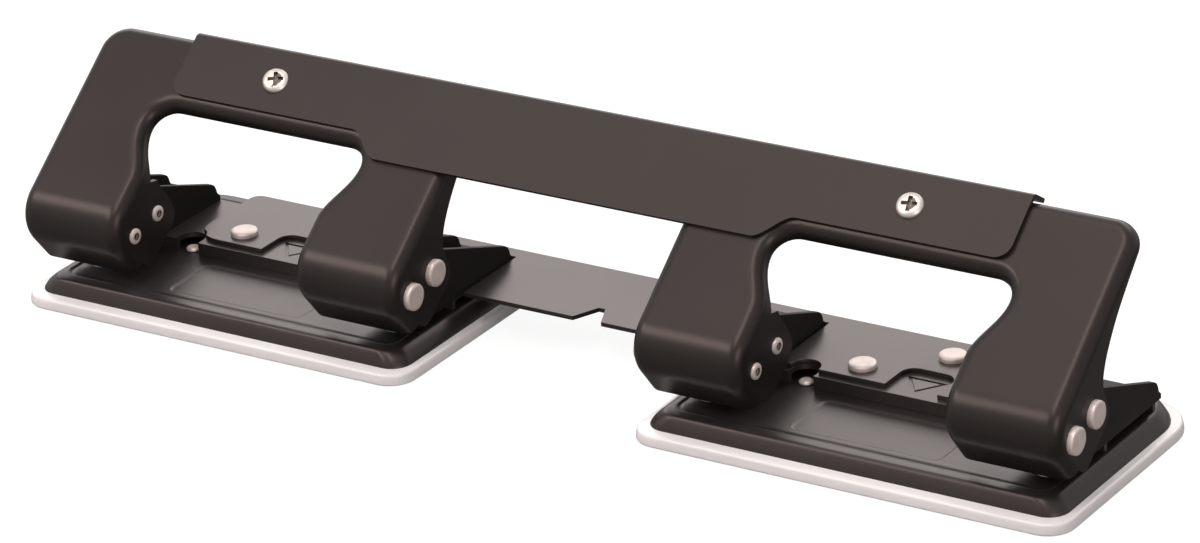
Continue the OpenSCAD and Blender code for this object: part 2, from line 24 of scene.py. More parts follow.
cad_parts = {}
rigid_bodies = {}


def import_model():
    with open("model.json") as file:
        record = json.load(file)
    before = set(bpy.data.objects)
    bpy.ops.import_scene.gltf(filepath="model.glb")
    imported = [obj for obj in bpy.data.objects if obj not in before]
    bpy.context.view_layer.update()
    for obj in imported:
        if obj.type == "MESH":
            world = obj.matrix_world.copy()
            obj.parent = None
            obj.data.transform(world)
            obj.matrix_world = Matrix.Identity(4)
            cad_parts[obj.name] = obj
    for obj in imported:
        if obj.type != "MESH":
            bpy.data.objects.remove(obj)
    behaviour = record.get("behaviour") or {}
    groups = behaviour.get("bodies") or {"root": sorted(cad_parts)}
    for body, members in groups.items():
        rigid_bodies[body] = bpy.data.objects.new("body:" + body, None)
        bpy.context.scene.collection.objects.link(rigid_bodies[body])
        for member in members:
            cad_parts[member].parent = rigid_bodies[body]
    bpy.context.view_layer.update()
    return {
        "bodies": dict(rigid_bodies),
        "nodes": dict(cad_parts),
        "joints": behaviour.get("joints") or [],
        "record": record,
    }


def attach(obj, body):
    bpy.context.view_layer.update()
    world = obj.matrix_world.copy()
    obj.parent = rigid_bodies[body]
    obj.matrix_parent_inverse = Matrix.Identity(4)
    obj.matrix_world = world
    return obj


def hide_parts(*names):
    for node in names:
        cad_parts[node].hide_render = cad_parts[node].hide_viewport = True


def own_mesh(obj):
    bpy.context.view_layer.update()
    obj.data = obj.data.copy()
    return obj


LOG = logging.getLogger("punch")
MM = 0.001
WELD = 0.002 * MM
# X of each unit's middle, Y of the holes, and (Y, Z) of the rivets through the legs
UNITS = {"left": -80.0, "right": 80.0}
PUNCH_Y = -14.32
HINGE = (-22.8, 18.6)
DRIVER = (-14.261, 20.729)
Point = tuple[float, float, float]
Flat = tuple[float, float]


def placed(name: str, data: ID) -> Object:
    """Makes an object of a mesh, a lamp or a camera and adds it to the scene.

    Args:
        name: The object's name.
        data: Its mesh, lamp or camera.

    Returns:
        The object.
    """
    item = bpy.data.objects.new(name, data)
    bpy.context.scene.collection.objects.link(item)
    return item


@contextmanager
def editing(data: Mesh) -> Iterator[bmesh.types.BMesh]:
    """Opens a mesh for editing and writes it back.

    Args:
        data: The mesh.

    Yields:
        The mesh in its editable form.
    """
    work = bmesh.new()
    work.from_mesh(data)
    yield work
    work.to_mesh(data)
    work.free()


# Shader maths
class Wire:
    """A shader socket that arithmetic turns into Math nodes."""

    def __init__(self, book: "NodeBook", socket: NodeSocket) -> None:
        """Wraps a socket of the given node book."""
        self.book = book
        self.socket = socket

    def _math(self, kind: str, *values: Any, clamp: bool = False) -> "Wire":
        """Adds a Math node of this kind fed by the values in order.

        Args:
            kind: The Math node's operation.
            *values: Numbers or wires for its sockets, in order.
            clamp: Whether the result is kept between 0 and 1.

        Returns:
            The result.
        """
        node = self.book.add("ShaderNodeMath", {"operation": kind, "use_clamp": clamp})
        for index, value in enumerate(values):
            self.book.feed(node.inputs[index], value)
        return Wire(self.book, node.outputs[0])

    def __add__(self, other: Any) -> "Wire":
        """Sum of this value and another."""
        return self._math("ADD", self, other)

    def __radd__(self, other: Any) -> "Wire":
        """Sum with a number on the left."""
        return self._math("ADD", other, self)

    def __sub__(self, other: Any) -> "Wire":
        """Difference of this value and another."""
        return self._math("SUBTRACT", self, other)

    def __rsub__(self, other: Any) -> "Wire":
        """Difference with a number on the left."""
        return self._math("SUBTRACT", other, self)

    def __mul__(self, other: Any) -> "Wire":
        """Product of this value and another."""
        return self._math("MULTIPLY", self, other)

    def __rmul__(self, other: Any) -> "Wire":
        """Product with a number on the left."""
        return self._math("MULTIPLY", other, self)

    def clamped(self) -> "Wire":
        """This value kept between 0 and 1."""
        return self._math("ADD", self, 0.0, clamp=True)


class NodeBook:
    """A node tree, filled by short calls."""

    def __init__(self, tree: NodeTree) -> None:
        """Empties the tree and keeps it."""
        self.tree = tree
        self.tree.nodes.clear()

    def add(self, kind: str, settings: dict[str, Any] | None = None, **sockets: Any) -> Node:
        """Adds a node.

        Args:
            kind: The node's type name.
            settings: Properties set before any socket is fed.
            **sockets: Values or wires by socket name, spaces as underscores.

        Returns:
            The new node.
        """
        node = self.tree.nodes.new(kind)
        for name, value in (settings or {}).items():
            setattr(node, name, value)
        for name, value in sockets.items():
            self.feed(node.inputs[name.replace("_", " ")], value)
        return node

    def feed(self, socket: NodeSocket, value: Any) -> None:
        """Links a wire or an output to a socket, or writes a plain value on it.

        Args:
            socket: The socket.
            value: A wire, an output or a plain value. A colour may leave out its alpha.
        """
        if isinstance(value, Wire):
            value = value.socket
        if isinstance(value, NodeSocket):
            self.tree.links.new(value, socket)
        elif socket.type == "RGBA" and len(value) == 3:
            socket.default_value = (*value, 1.0)
        else:
            socket.default_value = value

    def wire(self, node: Node, name: str | int = 0) -> Wire:
        """Wraps one of a node's outputs."""
        return Wire(self, node.outputs[name])


class ShaderBook(NodeBook):
    """The shader nodes of a material or a world."""

    def __init__(self, owner: Material | World) -> None:
        """Empties the owner's tree and keeps it."""
        owner.use_nodes = True
        super().__init__(owner.node_tree)

    def place(self, scale: Sequence[float] = (1.0, 1.0, 1.0)) -> Wire:
        """Object coordinates, stretched by a Mapping node."""
        coords = self.add("ShaderNodeTexCoord").outputs["Object"]
        return self.wire(self.add("ShaderNodeMapping", Vector=coords, Scale=tuple(scale)))

    def noise(self, where: Wire, scale: float, detail: float = 2.0, roughness: float = 0.5) -> Wire:
        """A noise value from 0 to 1, about 0.5."""
        node = self.add("ShaderNodeTexNoise", Vector=where, Scale=scale, Detail=detail, Roughness=roughness)
        return self.wire(node, 0)

    def blend(self, factor: Any, first: Any, second: Any) -> Wire:
        """Mixes two colours by a factor.

        Args:
            factor: The share of the second colour.
            first: The colour at 0.
            second: The colour at 1.

        Returns:
            The mixed colour.
        """
        node = self.add("ShaderNodeMix", {"data_type": "RGBA"})
        self.feed(node.inputs[0], factor)
        self.feed(node.inputs[6], first)
        self.feed(node.inputs[7], second)
        return self.wire(node, 2)

    def bump(self, height: Wire, distance_mm: float) -> Wire:
        """A normal bumped by a height."""
        return self.wire(self.add("ShaderNodeBump", Height=height, Distance=distance_mm * MM, Strength=1.0))

    def seen(self, gloss: float | Wire) -> Wire:
        """Where the background shows: to the camera, in clear plastic and in gloss.

        Args:
            gloss: How much of it gloss shows, from 0 to 1.

        Returns:
            A mask from 0 to 1.
        """
        path = self.add("ShaderNodeLightPath")
        camera, glossy = self.wire(path, "Is Camera Ray"), self.wire(path, "Is Glossy Ray")
        return (camera + self.wire(path, "Is Transmission Ray") + glossy * gloss).clamped()

    def choose(self, kind: str, mask: Wire, plain: Node, shown: Node) -> None:
        """Ends the tree in an output of this kind, fed by one of two shaders as a mask says.

        Args:
            kind: The output node's type name.
            mask: What chooses, from 0 to 1.
            plain: The shader where the mask is 0.
            shown: The shader where the mask is 1.
        """
        mix = self.add("ShaderNodeMixShader")
        for socket, value in zip(mix.inputs, (mask, plain.outputs[0], shown.outputs[0])):
            self.feed(socket, value)
        self.add(kind, Surface=mix.outputs[0])

    def surface(self, **sockets: Any) -> None:
        """Adds the Principled shader and the output."""
        shader = self.add("ShaderNodeBsdfPrincipled", **sockets)
        self.add("ShaderNodeOutputMaterial", Surface=shader.outputs[0])


# Finishes
@dataclass(frozen=True)
class Coat:
    """A surface that wanders between two colours."""

    name: str
    colour: Point
    other: Point

    def make(self) -> Material:
        """Builds the material.

        Returns:
            The material.
        """
        material = bpy.data.materials.new(self.name)
        self.shade(ShaderBook(material))
        return material

    def shade(self, book: ShaderBook) -> None:
        """Fills the material's tree.

        Args:
            book: The material's nodes.
        """
        raise NotImplementedError


@dataclass(frozen=True)
class SatinPaint(Coat):
    """Baked satin paint on pressed sheet, with its faint orange peel."""

    roughness: float = 0.34
    specular: float = 0.3
    peel_mm: float = 0.55
    peel_depth_mm: float = 0.003

    def shade(self, book: ShaderBook) -> None:
        """Lays warmer clouds, a fine grain and the peel.

        Args:
            book: The material's nodes.
        """
        where = book.place()
        cloud = book.noise(where, 38.0, 3.0)
        grain = book.noise(where, 2600.0, 1.0)
        peel = book.noise(where, 1.0 / (self.peel_mm * MM), 2.0, 0.45)
        book.surface(
            Base_Color=book.blend((cloud * 1.6 - 0.3).clamped(), self.colour, self.other),
            Roughness=self.roughness - 0.05 + cloud * 0.07 + grain * 0.03,
            Normal=book.bump(peel * 0.8 + grain * 0.2, self.peel_depth_mm),
            Specular_IOR_Level=self.specular, Specular_Tint=(1.0, 0.82, 0.78), IOR=1.5,
        )


@dataclass(frozen=True)
class BareSteel(Coat):
    """Plated steel of rivets, screws, punches and springs, and the painted shade in their recesses."""

    roughness: float = 0.3
    scratch: float = 0.12
    metal: float = 1.0

    def shade(self, book: ShaderBook) -> None:
        """Lays dull clouds and fine drawn lines.

        Args:
            book: The material's nodes.
        """
        cloud = book.noise(book.place(), 420.0, 3.0)
        lines = book.noise(book.place((1.0, 6.0, 1.0)), 900.0, 2.0)
        book.surface(
            Base_Color=book.blend((cloud * 1.8 - 0.4).clamped(), self.colour, self.other),
            Metallic=self.metal, Roughness=self.roughness - self.scratch / 2 + lines * self.scratch,
            Normal=book.bump(cloud * 0.5 + lines * 0.5, 0.006),
        )


@dataclass(frozen=True)
class ClearTray(Coat):
    """Milky clear plastic of the chip trays."""

    roughness: float = 0.32
    clear: float = 0.45

    def shade(self, book: ShaderBook) -> None:
        """Lays milky clouds and a fine grain.

        Args:
            book: The material's nodes.
        """
        where = book.place()
        fine = book.noise(where, 900.0, 2.0)
        book.surface(
            Base_Color=book.blend(book.noise(where, 60.0, 3.0), self.colour, self.other),
            Roughness=self.roughness - 0.04 + fine * 0.08, Normal=book.bump(fine, 0.008),
            Transmission_Weight=self.clear, IOR=1.47, Specular_IOR_Level=0.5,
        )


class Finish(Enum):
    """The finishes of the part, by what wears them."""

    # one satin black paint in copies whose colour and gloss are set piece by piece for how lit each looks,
    # painted light: the deck copy lighter and glossier for its lit tops, the bracket copy almost without
    # gloss for its shaded cheeks
    LEVER = SatinPaint("satin_black_lever", (0.008, 0.0068, 0.0063), (0.012, 0.010, 0.0092), 0.33, 0.23)
    COVER = SatinPaint("satin_black_cover", (0.009, 0.0078, 0.0072), (0.013, 0.0108, 0.0098), 0.36, 0.27)
    BRACKET_SHADED = SatinPaint("satin_black_bracket_shaded", (0.008, 0.0074, 0.007), (0.011, 0.010, 0.0094), 0.40, 0.09)
    BASE = SatinPaint("satin_black_base", (0.011, 0.0095, 0.0092), (0.016, 0.0136, 0.013), 0.34, 0.30)
    DECK_LIT = SatinPaint("satin_black_deck_lit", (0.014, 0.0122, 0.0116), (0.020, 0.017, 0.016), 0.36, 0.45)
    RIVET = BareSteel("plated_rivet", (0.64, 0.555, 0.525), (0.50, 0.43, 0.405), 0.45, 0.12, 0.4)
    SCREW = BareSteel("plated_screw", (0.54, 0.485, 0.455), (0.38, 0.34, 0.315), 0.38, 0.10, 0.7)
    # painted shade: dark steel for the faces in the screws' cross recesses and the rivets' peened hollows,
    # where shade falls
    RECESS_SHADE = BareSteel("painted_recess_shade", (0.10, 0.078, 0.066), (0.055, 0.043, 0.037), 0.5, 0.1, 0.5)
    PUNCH = BareSteel("hardened_punch", (0.55, 0.55, 0.56), (0.40, 0.40, 0.41), 0.28)
    SPRING = BareSteel("spring_wire", (0.42, 0.42, 0.43), (0.30, 0.30, 0.31), 0.35)
    TRAY = ClearTray("milky_tray", (0.85, 0.82, 0.82), (0.90, 0.88, 0.885))

    @property
    def material(self) -> Material:
        """The finish's material, made once."""
        found = bpy.data.materials.get(self.value.name)
        return found or self.value.make()


# Mesh drafts
class Draft:
    """Points in millimetres and faces, on the way to one mesh."""

    def __init__(self) -> None:
        """Starts empty."""
        self.points: list[Point] = []
        self.faces: list[tuple[int, ...]] = []

    def row(self, points: Iterable[Sequence[float]]) -> list[int]:
        """Adds points and returns their indices.

        Args:
            points: The points, in millimetres.

        Returns:
            Their indices.
        """
        start = len(self.points)
        self.points.extend(tuple(p) for p in points)
        return list(range(start, len(self.points)))

    def strip(self, low: Sequence[int], high: Sequence[int], closed: bool = False) -> None:
        """Joins two rows of equal length with quads.

        Args:
            low: Indices of one row.
            high: Indices of the other row.
            closed: Whether the rows are rings.
        """
        count = len(low)
        for i in range(count if closed else count - 1):
            j = (i + 1) % count
            self.faces.append((low[i], low[j], high[j], high[i]))

    def loft(self, rows: Sequence[Sequence[int]], closed: bool = False) -> None:
        """Joins rows one after another."""
        for low, high in zip(rows, rows[1:]):
            self.strip(low, high, closed)

    def fill(self, loop: Sequence[int]) -> None:
        """Fills a flat loop by triangles.

        Args:
            loop: Indices round the loop.
        """
        order = list(loop)
        for a, b, c in tessellate_polygon([[Vector(self.points[i]) for i in order]]):
            self.faces.append((order[a], order[b], order[c]))

    def fill_pierced(self, loops: Sequence[Sequence[int]]) -> None:
        """Fills a level loop by triangles, leaving the loops inside it open.

        Args:
            loops: The outer loop first, then one loop for each hole.
        """
        order = [i for one in loops for i in one]
        spots = [Vector(self.points[i][:2]) for i in order]
        sides, start = [], 0
        for one in loops:
            count = len(one)
            sides += [(start + k, start + (k + 1) % count) for k in range(count)]
            start += count
        _, _, faces, sources, _, _ = delaunay_2d_cdt(spots, sides, [], 0, 1e-6)
        for face in faces:
            corners = [sources[i][0] for i in face]
            middle = sum((spots[i] for i in corners), Vector((0.0, 0.0))) / len(corners)
            crossed = 0
            for low, high in ((spots[i], spots[j]) for i, j in sides):
                if (low.y > middle.y) != (high.y > middle.y):
                    crossed += middle.x < low.x + (high.x - low.x) * (middle.y - low.y) / (high.y - low.y)
            if crossed % 2:
                self.faces.append(tuple(order[i] for i in corners))

    def mesh(self, name: str, middle: float = 0.0) -> Object:
        """Writes the draft as an object about X = middle, welded and facing outwards.

        Args:
            name: The object's name.
            middle: What is added to every X, in millimetres.

        Returns:
            The object.
        """
        data = bpy.data.meshes.new(name)
        data.from_pydata([((x + middle) * MM, y * MM, z * MM) for x, y, z in self.points], [], self.faces)
        item = placed(name, data)
        with editing(data) as work:
            bmesh.ops.remove_doubles(work, verts=work.verts, dist=WELD)
            bmesh.ops.recalc_face_normals(work, faces=work.faces)
        return item


def smooth_line(points: Sequence[Flat], steps: int = 5) -> list[Flat]:
    """Runs a Catmull-Rom curve through flat points, ends kept.

    Args:
        points: The points that the curve runs through.
        steps: Steps from each point to the next.

    Returns:
        The points of the curve.
    """
    out: list[Flat] = []
    for i in range(len(points) - 1):
        p0 = points[max(i - 1, 0)]
        p1, p2 = points[i], points[i + 1]
        p3 = points[min(i + 2, len(points) - 1)]
        for k in range(steps):
            t = k / steps
            out.append(tuple(
                0.5 * (2 * p1[a] + (p2[a] - p0[a]) * t + (2 * p0[a] - 5 * p1[a] + 4 * p2[a] - p3[a]) * t * t
                       + (3 * p1[a] - p0[a] - 3 * p2[a] + p3[a]) * t ** 3)
                for a in (0, 1)
            ))
    out.append(tuple(points[-1]))
    return out


def arc(cx: float, cy: float, rx: float, ry: float, start: float, end: float, steps: int) -> list[Flat]:
    """Points of an arc of an ellipse, angles in degrees."""
    turns = [math.radians(start + (end - start) * k / steps) for k in range(steps + 1)]
    return [(cx + rx * math.cos(t), cy + ry * math.sin(t)) for t in turns]


def round_rect(hx: float, hy: float, r: float, steps: int, rear: float | None = None) -> list[Flat]:
    """A rectangle with rounded corners, anticlockwise.

    Args:
        hx: Half its width.
        hy: Half its depth.
        r: Radius of the corners, or of the front ones.
        steps: Steps of each corner.
        rear: Radius of the rear corners where they differ.

    Returns:
        The points of the outline.
    """
    loop: list[Flat] = []
    back = r if rear is None else rear
    for sx, sy, start, radius in ((1, 1, 0, back), (-1, 1, 90, back), (-1, -1, 180, r), (1, -1, 270, r)):
        loop += arc(sx * (hx - radius), sy * (hy - radius), radius, radius, start, start + 90, steps)
    return loop


def s_step(a: float, b: float, k: float) -> float:
    """An S-shaped step from a to b as k runs from 0 to 1."""
    return a + (b - a) * (1 - math.cos(math.pi * k)) / 2


# Finished pieces
@dataclass
class Workshop:
    """Turns drafts into finished pieces that ride on their bodies."""

    frame: dict[str, Any]

    def bake(self, item: Object) -> Object:
        """Applies an object's modifiers by way of the evaluated mesh.

        Args:
            item: The object.

        Returns:
            The same object, with a plain mesh and no modifiers.
        """
        graph = bpy.context.evaluated_depsgraph_get()
        graph.update()
        data = bpy.data.meshes.new_from_object(
            item.evaluated_get(graph), preserve_all_data_layers=True, depsgraph=graph)
        item.modifiers.clear()
        item.data = data
        data.name = item.name
        return item

    def thicken(self, item: Object, sheet_mm: float, soften_mm: float) -> None:
        """Gives a skin its sheet thickness inwards and soft edges.

        Args:
            item: The skin.
            sheet_mm: The thickness of the sheet.
            soften_mm: The width of the soft edges, or 0 for none.
        """
        wall = item.modifiers.new("sheet", "SOLIDIFY")
        wall.thickness = sheet_mm * MM
        wall.offset = -1.0
        wall.use_even_offset = True
        wall.use_rim = True
        if soften_mm > 0:
            self.soften(item, soften_mm, 50.0)

    @staticmethod
    def soften(item: Object, width_mm: float, angle: float) -> None:
        """Rounds the edges that are sharper than the angle.

        Args:
            item: The object.
            width_mm: The width of the rounding.
            angle: The angle in degrees.
        """
        bevel = item.modifiers.new("edge", "BEVEL")
        bevel.width = width_mm * MM
        bevel.segments = 2
        bevel.limit_method = "ANGLE"
        bevel.angle_limit = math.radians(angle)
        bevel.harden_normals = False
        bevel.use_clamp_overlap = True

    def finish(
        self, item: Object, finish: Finish, body: str, slot: str, node: str,
        angle: float = 32.0, other: tuple[Finish, Callable[[Vector], bool]] | None = None,
    ) -> Object:
        """Shades, dresses and rides a piece.

        Args:
            item: The piece, with its modifiers still on it.
            finish: The finish that it wears.
            body: The body that it rides on.
            slot: The record's material slot; not used.
            node: The CAD node that it stands for.
            angle: Faces that meet flatter than this are shaded smooth.
            other: A second finish and the test of a face's middle that picks it.

        Returns:
            The finished piece.
        """
        self.bake(item)
        data = item.data
        data.materials.clear()
        data.materials.append(finish.material)
        if other:
            data.materials.append(other[0].material)
        for polygon in data.polygons:
            polygon.material_index = int(bool(other and other[1](polygon.center)))
        data.shade_smooth()
        limit = math.radians(angle)
        with editing(data) as work:
            for edge in work.edges:
                if len(edge.link_faces) == 2:
                    edge.smooth = edge.calc_face_angle(0.0) < limit
        weights = item.modifiers.new("normals", "WEIGHTED_NORMAL")
        weights.keep_sharp = True
        weights.weight = 60
        self.bake(item)
        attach(item, body)
        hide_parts(node)
        LOG.info("%s rides on %s, %d faces", item.name, body, len(item.data.polygons))
        return item

    @staticmethod
    def absorb(item: Object, extra: Object) -> None:
        """Takes another object's mesh into this one's.

        Args:
            item: The object that stays.
            extra: The object whose mesh is taken.
        """
        with editing(item.data) as work:
            work.from_mesh(extra.data)
        bpy.data.objects.remove(extra)

    def softened_copy(self, node: str, name: str, width_mm: float) -> Object:
        """A copy of a CAD node with its flats merged and its edges rounded.

        Args:
            node: The CAD node.
            name: The copy's name.
            width_mm: The width of the rounding.

        Returns:
            The copy, with its rounding still a modifier.
        """
        data = self.frame["nodes"][node].data.copy()
        data.name = name
        item = placed(name, data)
        with editing(data) as work:
            bmesh.ops.remove_doubles(work, verts=work.verts, dist=WELD)
            flat = math.radians(0.6)
            bmesh.ops.dissolve_limit(work, angle_limit=flat, verts=work.verts, edges=work.edges)
        self.soften(item, width_mm, 40.0)
        return item


# Lever
@dataclass
class LeverSpace:
    """The tilted frame of the levers: x, s up the panel, off outwards."""

    angle: float = 38.1
    pivot_s: float = 0.98
    pivot_off: float = -8.54

    def at(self, x: float, s: float, off: float) -> Point:
        """A lever point in the part's frame, millimetres.

        Args:
            x: X in the part's frame.
            s: Distance up the panel.
            off: Distance outwards from the panel.

        Returns:
            The point.
        """
        c, d = math.cos(math.radians(self.angle)), math.sin(math.radians(self.angle))
        u, v = s - self.pivot_s, off - self.pivot_off
        return (x, HINGE[0] + c * u - d * v, HINGE[1] + d * u + c * v)

    def matrix(self, x: float, s: float, off: float) -> Matrix:
        """Places a piece made flat, z outwards, on the panel, in metres."""
        spot = Vector(self.at(x, s, off)) * MM
        return Matrix.Translation(spot) @ Matrix.Rotation(math.radians(self.angle), 4, "X")


SPACE = LeverSpace()


@dataclass
class Rim:
    """One outline point of the unrolled lever: place and inward normal."""

    x: float
    t: float
    nx: float
    nt: float


def mirrored(right: list[Rim]) -> list[Rim]:
    """A chain from its right half and the mirror image of it."""
    return right + [Rim(-p.x, p.t, -p.nx, p.nt) for p in reversed(right)]


@dataclass
class Lever:
    """One pressed lever: an arch with two legs, folded all round."""

    half: float = 50.4
    inner: float = 23.7
    length: float = 47.6
    corner: float = 6.5
    fold: float = 3.0
    nose_s: float = -5.0
    nose_r: float = 8.5
    wall_off: float = -15.5
    arch_wide: float = 28.3
    arch_top: float = 29.9
    arch_low: float = 11.0
    arch_rx: float = 5.4
    arch_ry: float = 5.2
    lip: float = 3.6
    top_lip: float = 3.3
    lip_more: float = 3.2
    lip_fade: float = 7.5
    margin: float = 0.5
    side_t: tuple[float, ...] = (8.0, 11.0, 20.0, 28.0, 35.0)
    foot: tuple[Flat, ...] = ((-1.9, -16.6), (-1.2, -17.9), (0.6, -18.7), (5.5, -18.8), (10.4, -18.7))
    wall_steps: int = 4
    nose_steps: int = 18
    fold_steps: int = 9
    corner_steps: int = 14
    neck_steps: int = 14
    arch_steps: int = 16

    @property
    def flat_s(self) -> float:
        """Where the flat panel ends and the nose begins."""
        return self.nose_s + self.nose_r

    @property
    def end_t(self) -> float:
        """The unrolled place of the lower edge of the nose wall."""
        return self.flat_s - self.nose_r * math.pi / 2 + (self.wall_off + self.nose_r)

    def on_path(self, t: float) -> tuple[float, float, float, float]:
        """Side path: s, off and the outward normal at the unrolled place t.

        Args:
            t: The unrolled place, the same as s on the flat panel.

        Returns:
            s, off, and the parts of the normal along s and off.
        """
        if t >= self.flat_s:
            return t, 0.0, 0.0, 1.0
        quarter = self.nose_r * math.pi / 2
        turn = (self.flat_s - t) / self.nose_r
        if turn <= math.pi / 2:
            return (
                self.flat_s - self.nose_r * math.sin(turn),
                -self.nose_r + self.nose_r * math.cos(turn),
                -math.sin(turn), math.cos(turn),
            )
        return self.nose_s, -self.nose_r - (self.flat_s - quarter - t), -1.0, 0.0

    def place(self, x: float, t: float, depth: float) -> Point:
        """A point under the skin at (x, t), by its depth below it."""
        s, off, ns, no = self.on_path(t)
        return SPACE.at(x, s - ns * depth, off - no * depth)

    def leg_levels(self) -> list[float]:
        """Unrolled levels from the lower edge to the top of the nose.

        Returns:
            The levels, the lowest first.
        """
        bend_end = self.flat_s - self.nose_r * math.pi / 2
        low, high, n = bend_end - self.end_t, self.flat_s - bend_end, self.nose_steps
        wall = [self.end_t + low * k / self.wall_steps for k in range(self.wall_steps)]
        return wall + [bend_end + high * k / n for k in range(n + 1)]

    def outer_chain(self) -> list[Rim]:
        """Outline from the right leg's foot over the top to the left foot.

        Returns:
            The points of the outline.
        """
        right = [Rim(self.half, t, -1, 0) for t in (*self.leg_levels(), *self.side_t)]
        cx, cy = self.half - self.corner, self.length - self.corner
        for c, d in arc(0.0, 0.0, 1.0, 1.0, 0, 90, self.corner_steps):
            right.append(Rim(cx + self.corner * c, cy + self.corner * d, -c, -d))
        return mirrored(right)

    def inner_chain(self) -> list[Rim]:
        """Outline of the arch from the right foot over to the left foot.

        Returns:
            The points of the outline.
        """
        flat: list[Flat] = [(self.inner, t) for t in (self.side_t[0], self.arch_low)]
        high, n = self.arch_top - self.arch_ry, self.neck_steps
        flat += [
            (s_step(self.inner, self.arch_wide, k / n), self.arch_low + (high - self.arch_low) * k / n)
            for k in range(1, n)
        ]
        flat += arc(self.arch_wide - self.arch_rx, high, self.arch_rx, self.arch_ry, 0, 90, self.arch_steps)
        right = [Rim(self.inner, t, 1, 0) for t in self.leg_levels()]
        for i, (x, t) in enumerate(flat):
            before = flat[i - 1] if i else (self.inner, t - 1)
            after = flat[i + 1] if i + 1 < len(flat) else (x - 1, t)
            dx, dt = after[0] - before[0], after[1] - before[1]
            size = math.hypot(dx, dt)
            right.append(Rim(x, t, dt / size, -dx / size))
        return mirrored(right)

    def rings(self, draft: Draft, chain: Sequence[Rim]) -> list[list[int]]:
        """Rows of the pressed fold, from the flat inwards edge to the side.

        Args:
            draft: The draft that takes the points.
            chain: The outline.

        Returns:
            The indices of each row.
        """
        turns = arc(0.0, 0.0, 1.0, 1.0, 0, 90, self.fold_steps)
        steps = [(self.fold + self.margin, 0.0)]
        steps += [(self.fold * (1 - d), self.fold * (1 - c)) for c, d in turns]
        return [
            draft.row(self.place(p.x + p.nx * inset, p.t + p.nt * inset, depth) for p in chain)
            for inset, depth in steps
        ]

    def flank_edge(self) -> list[Flat]:
        """Rear edge (s, off) of an outer flank, from the foot to the corner.

        Returns:
            The points of the edge.
        """
        return smooth_line([
            *self.foot, (12.4, -17.8), (13.5, -16.0), (14.3, -12.8), (15.5, -10.7), (17.8, -8.9),
            (21.6, -7.1), (27.6, -5.3), (34.0, -4.2), (self.length - self.corner, -self.top_lip),
        ])

    def inner_flank_edge(self) -> list[Flat]:
        """Rear edge (s, off) of an inner flank, from the foot to the arch.

        Returns:
            The points of the edge.
        """
        return smooth_line([
            *self.foot, (12.2, -17.9), (13.3, -16.2), (14.0, -12.5), (14.2, -9.0), (14.6, -7.0),
        ])

    def build(self, name: str, middle: float) -> Object:
        """Makes the outer skin of one lever.

        Args:
            name: The piece's name.
            middle: The X of the unit's middle.

        Returns:
            The skin as an object, without its thickness.
        """
        draft = Draft()
        outer, inner = self.outer_chain(), self.inner_chain()
        outer_rows, inner_rows = self.rings(draft, outer), self.rings(draft, inner)
        draft.loft(outer_rows)
        draft.loft(inner_rows)
        levels = len(self.leg_levels())
        n_out, n_in = len(outer), len(inner)
        top_out = outer_rows[0][levels - 1:n_out - levels + 1]
        top_in = inner_rows[0][levels - 1:n_in - levels + 1]
        draft.fill(top_out + list(reversed(top_in)))
        for part in (slice(levels), slice(-levels, None)):
            draft.strip(outer_rows[0][part], inner_rows[0][part])
        self._outer_skirt(draft, outer, outer_rows[-1], levels)
        self._arch_skirt(draft, inner, inner_rows[-1], levels)
        return draft.mesh(name, middle)

    @staticmethod
    def _flanks(draft: Draft, edge: list[int], count: int, x: float, rear: Sequence[Flat]) -> None:
        """Flat flanks at both ends of a fold, out to their rear edge.

        Args:
            draft: The draft that takes the faces.
            edge: Indices of the last row of the fold.
            count: How many of them a flank takes at each end.
            x: Half the distance between the flanks.
            rear: The rear edge of a flank, from the foot up.
        """
        for side, row in ((1, edge), (-1, edge[::-1])):
            back = draft.row(SPACE.at(side * x, s, off) for s, off in rear)
            draft.fill([*row[:count], *reversed(back)])

    def _outer_skirt(self, draft: Draft, chain: Sequence[Rim], edge: list[int], levels: int) -> None:
        """Flat outer flanks and the short lip over the top.

        Args:
            draft: The draft that takes the faces.
            chain: The outline.
            edge: Indices of the last row of its fold.
            levels: How many points a leg's wall and nose take.
        """
        straight = levels + len(self.side_t)
        self._flanks(draft, edge, straight + 1, self.half, self.flank_edge())
        top = range(straight, len(chain) - straight)
        lip = draft.row(self.place(chain[i].x, chain[i].t, self.top_lip) for i in top)
        draft.strip([edge[i] for i in top], lip)

    def _arch_skirt(self, draft: Draft, chain: Sequence[Rim], edge: list[int], levels: int) -> None:
        """Flat inner flanks and the lip round the arch, deeper towards the legs.

        Args:
            draft: The draft that takes the faces.
            chain: The outline.
            edge: Indices of the last row of its fold.
            levels: How many points a leg's wall and nose take.
        """
        straight = levels + 1
        self._flanks(draft, edge, straight + 1, self.inner, self.inner_flank_edge())
        arch = range(straight, len(chain) - straight)
        shares = [max(0.0, 1 - (chain[i].t - self.arch_low) / self.lip_fade) ** 1.5 for i in arch]
        depths = [self.lip + self.lip_more * share for share in shares]
        lip = draft.row(self.place(chain[i].x, chain[i].t, d) for i, d in zip(arch, depths))
        draft.strip([edge[i] for i in arch], lip)


